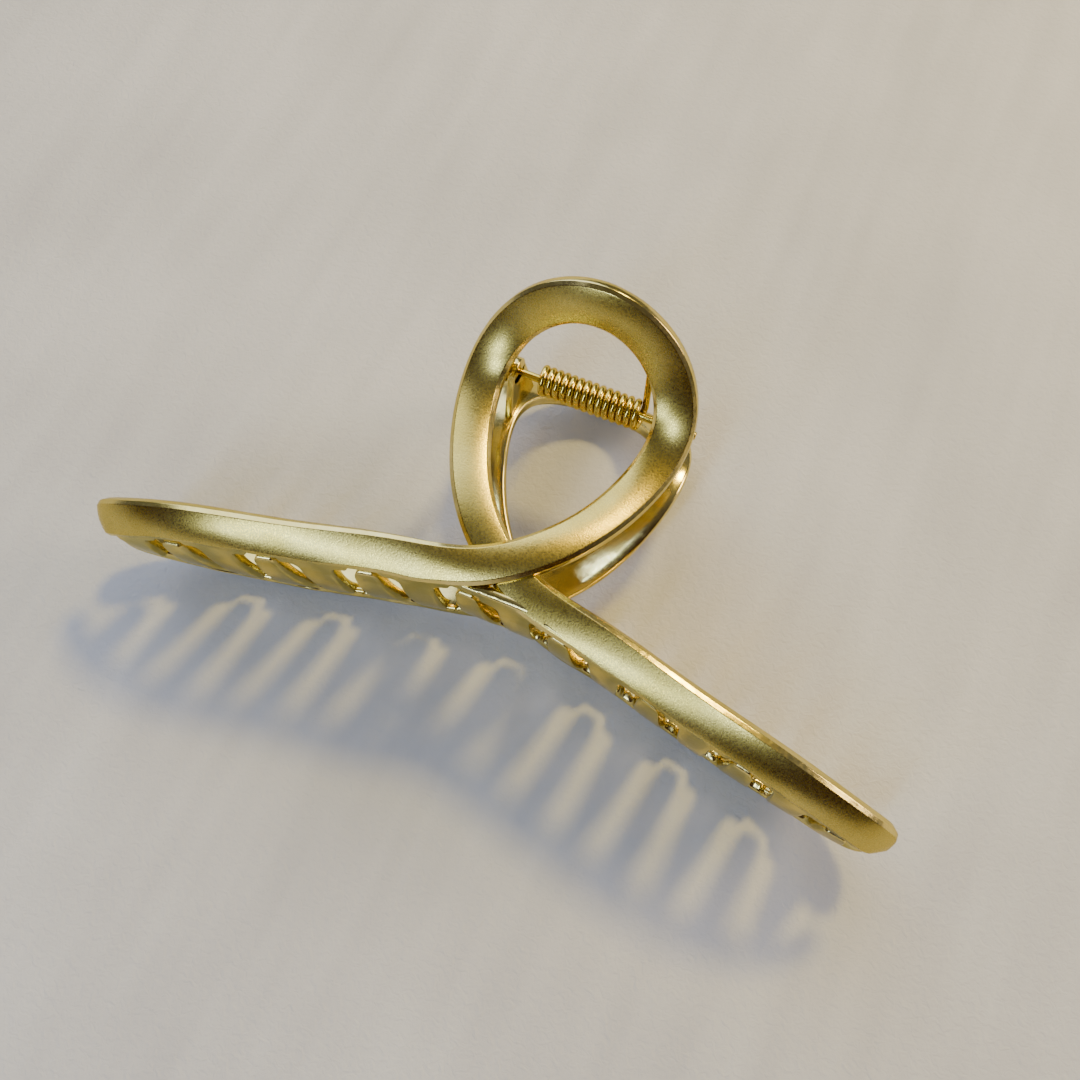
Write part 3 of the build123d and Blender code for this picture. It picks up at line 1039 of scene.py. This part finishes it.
@dataclass
class TorsionSpring:
    """Close-wound wire spring round the pin with one straight leg behind each loop.

    Attributes:
        leg_start: height and distance outward where a leg leaves the coil.
        leg_knee: the same where it bends.
        leg_tip: the same at its end.
        bend_reach: length of the bend on either side of the knee.
        end_inset: width of the rounding on the wire's cut ends.
        end_rise: height of that rounding.
    """

    wire_diameter: float = 1.05
    coil_diameter: float = 3.7
    turns: int = 14
    pitch: float = 1.12
    height: float = PLACE.hinge_height
    leg_start: tuple[float, float] = (45.416, -0.355)
    leg_knee: tuple[float, float] = (48.20, 13.87)
    leg_tip: tuple[float, float] = (49.43, 15.70)
    steps_per_turn: int = 36
    round_wire: int = 14
    bend_reach: float = 0.9
    end_inset: float = 0.16
    end_rise: float = 0.12

    def centreline(self) -> list[Vector]:
        """Work out the wire's centreline.

        Returns:
            Its points from the left leg's end to the right leg's end.
        """
        half = self.turns * self.pitch / 2
        radius = self.coil_diameter / 2
        start = math.atan2(self.leg_start[1], self.leg_start[0] - self.height)
        coil = []
        count = self.turns * self.steps_per_turn
        for i in range(count + 1):
            share = i / count
            angle = start - 2 * math.pi * self.turns * (1 - share)
            coil.append(Vector((-half + 2 * half * share, self.height + radius * math.cos(angle),
                                radius * math.sin(angle))))
        right = [Vector((half, *point)) for point in self.leg_path()]
        left = [Vector((-half, point[0], -point[1])) for point in self.leg_path()]
        return list(reversed(left)) + coil[1:-1] + right

    def leg_path(self) -> list[tuple[float, float]]:
        """Work out one leg in its plane.

        Returns:
            Its points as height and distance outward, from the coil to the bent end.
        """
        start, knee, tip = (np.array(p) for p in (self.leg_start, self.leg_knee, self.leg_tip))
        run = knee - start
        points = [start + run * s for s in (0.0, 0.1, 0.3, 0.5, 0.7, 0.85)]
        before = knee - run / np.linalg.norm(run) * self.bend_reach
        after = knee + (tip - knee) / np.linalg.norm(tip - knee) * self.bend_reach
        for s in (0.0, 0.2, 0.4, 0.6, 0.8, 1.0):
            points.append((1 - s) ** 2 * before + 2 * s * (1 - s) * knee + s ** 2 * after)
        points += [after + (tip - after) * s for s in (0.5, 1.0)]
        return [(float(p[0]), float(p[1])) for p in points]

    def build(self) -> bpy.types.Object:
        """Build, dress and place the spring.

        Returns:
            The finished object.
        """
        path = self.centreline()
        bm = bmesh.new()
        ring = closed_ring(bm, self.round_wire)
        final = len(path) - 1
        tangents = [(path[min(i + 1, final)] - path[max(i - 1, 0)]).normalized()
                    for i in range(len(path))]
        up = tangents[0].orthogonal().normalized()
        frames = []
        for tangent in tangents:
            up = (up - tangent * up.dot(tangent)).normalized()
            frames.append((up, tangent.cross(up)))

        def place_ring(number: int, verts: list[bmesh.types.BMVert]) -> None:
            """Put one ring of the wire."""
            first, second = frames[number]
            for index, vert in enumerate(verts):
                angle = 2 * math.pi * index / len(verts)
                away = first * math.cos(angle) + second * math.sin(angle)
                vert.co = path[number] + away * self.wire_diameter / 2

        first_ring = list(ring)
        place_ring(0, ring)
        last_ring = tube_through(bm, ring, final, place_ring)
        for ends in (first_ring, last_ring):
            cap = bmesh.ops.contextual_create(bm, geom=ends)["faces"]
            bmesh.ops.inset_region(bm, faces=cap, thickness=self.end_inset, depth=self.end_rise)
        piece = finish_mesh(bm, "torsion_spring_wire", [MATERIALS[Finish.WIRE]])
        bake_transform(piece)
        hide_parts("torsion_spring")
        return piece


# ---- table, light and camera ----

@dataclass(frozen=True)
class SoftLight:
    """One large soft area light, aimed at the clip.

    Attributes:
        name: what it is.
        toward: direction from the clip to the light.
        distance: metres.
        size: width and height in metres.
        power: watts.
        colour: sRGB hex.
        roll_deg: turn about the light's own axis.
    """

    name: str
    toward: tuple[float, float, float]
    distance: float
    size: tuple[float, float]
    power: float
    colour: str
    roll_deg: float = 0.0

    def build(self) -> bpy.types.Object:
        """Create and aim the light.

        Returns:
            The light's object.
        """
        data = bpy.data.lights.new(self.name, "AREA")
        data.shape = "RECTANGLE"
        data.size, data.size_y = self.size
        data.energy = self.power
        data.color = linear(self.colour)[:3]
        lamp = bpy.data.objects.new(self.name, data)
        bpy.context.scene.collection.objects.link(lamp)
        away = Vector(self.toward).normalized()
        lamp.location = away * self.distance
        roll = Matrix.Rotation(math.radians(self.roll_deg), 3, "Z").to_quaternion()
        lamp.rotation_euler = (away.to_track_quat("Z", "Y") @ roll).to_euler()
        return lamp


@dataclass
class Studio:
    """Pale table, soft lights and the camera.

    Attributes:
        room_ramp: where the front's colour ends and the back's begins, from 0 in front to 1 behind.
        eye_from_hinge_mm: the camera's place from the hinge.
        right: direction of the picture's right.
        down: direction of the picture's bottom.
    """

    room_back: str = "#8C8E92"
    room_front: str = "#4A2605"
    room_ramp: tuple[float, float] = (0.26, 0.62)
    room_strength: float = 0.5
    table_half_m: float = 1.5
    sensor_mm: float = 36.0
    clip_start_m: float = 0.005
    lens: float = 37.36
    eye_from_hinge_mm: tuple[float, float, float] = (28.12, -76.99, 144.81)
    right: tuple[float, float, float] = (0.9178, 0.3965, -0.0196)
    down: tuple[float, float, float] = (0.3602, -0.8525, -0.3789)
    lights: tuple[SoftLight, ...] = (
        SoftLight("window_front_left", (-0.098, -0.280, 0.185), 0.35, (0.055, 0.13), 0.26, "#CFE2FF"),
        SoftLight("window_front_high", (-0.135, -0.900, 1.240), 1.53, (0.12, 0.70), 7.0, "#CFE2FF",
                  -4.0),
        SoftLight("ceiling_lamp_behind", (0.16, 0.60, 0.80), 0.9, (0.13, 0.13), 6.0, "#FFE070"),
        SoftLight("window_back_left", (-0.70, 0.75, 0.75), 1.1, (1.0, 1.0), 9.5, "#E4ECFF"),
        SoftLight("warm_panel_right", (1.0, 0.50, 0.50), 1.1, (0.4, 0.4), 8.0, "#FFE2BC"),
    )

    def build(self) -> None:
        """Create the table, the lights, the room and the camera."""
        bm = bmesh.new()
        bmesh.ops.create_grid(bm, x_segments=2, y_segments=2, size=self.table_half_m)
        mesh = bpy.data.meshes.new("tabletop")
        bm.to_mesh(mesh)
        bm.free()
        mesh.materials.append(TableTop().build())
        table = bpy.data.objects.new("tabletop", mesh)
        bpy.context.scene.collection.objects.link(table)
        for light in self.lights:
            light.build()
        world = bpy.data.worlds.new("soft_room")
        world.use_nodes = True
        tree = world.node_tree
        place = add_node(tree, "ShaderNodeTexCoord")
        facing = add_node(tree, "ShaderNodeSeparateXYZ", None, {"Vector": place.outputs["Generated"]})
        share = add_node(tree, "ShaderNodeMapRange", None,
                         {"Value": facing.outputs["Y"], "From Min": -1.0, "From Max": 1.0})
        walls = ramp(tree, share.outputs["Result"], self.room_ramp, (self.room_front, self.room_back))
        sky = tree.nodes["Background"]
        tree.links.new(walls, sky.inputs["Color"])
        sky.inputs["Strength"].default_value = self.room_strength
        bpy.context.scene.world = world
        self.add_camera()

    def add_camera(self) -> None:
        """Create the camera and make it the scene's."""
        data = bpy.data.cameras.new("camera")
        data.lens = self.lens
        data.sensor_width = self.sensor_mm
        data.clip_start = self.clip_start_m
        camera = bpy.data.objects.new("camera", data)
        bpy.context.scene.collection.objects.link(camera)
        x_axis = Vector(self.right).normalized()
        z_axis = x_axis.cross(-Vector(self.down)).normalized()
        y_axis = z_axis.cross(x_axis)
        turn = Matrix((x_axis, y_axis, z_axis)).transposed().to_4x4()
        eye = Vector(HINGE["pos_m"]) + Vector(self.eye_from_hinge_mm) * MM
        camera.matrix_world = Matrix.Translation(eye) @ turn
        bpy.context.scene.camera = camera


def main() -> None:
    """Build the clip and its surroundings."""
    for finish in Finish:
        MATERIALS[finish] = finish.value.build()
    for builder in (JawCasting(Side.FRONT), JawCasting(Side.REAR), HingePin(), TorsionSpring()):
        piece = builder.build()
        LOG.info("%s: %d faces", piece.name, len(piece.data.polygons))
    Studio().build()


if __name__ == "__main__":
    main()
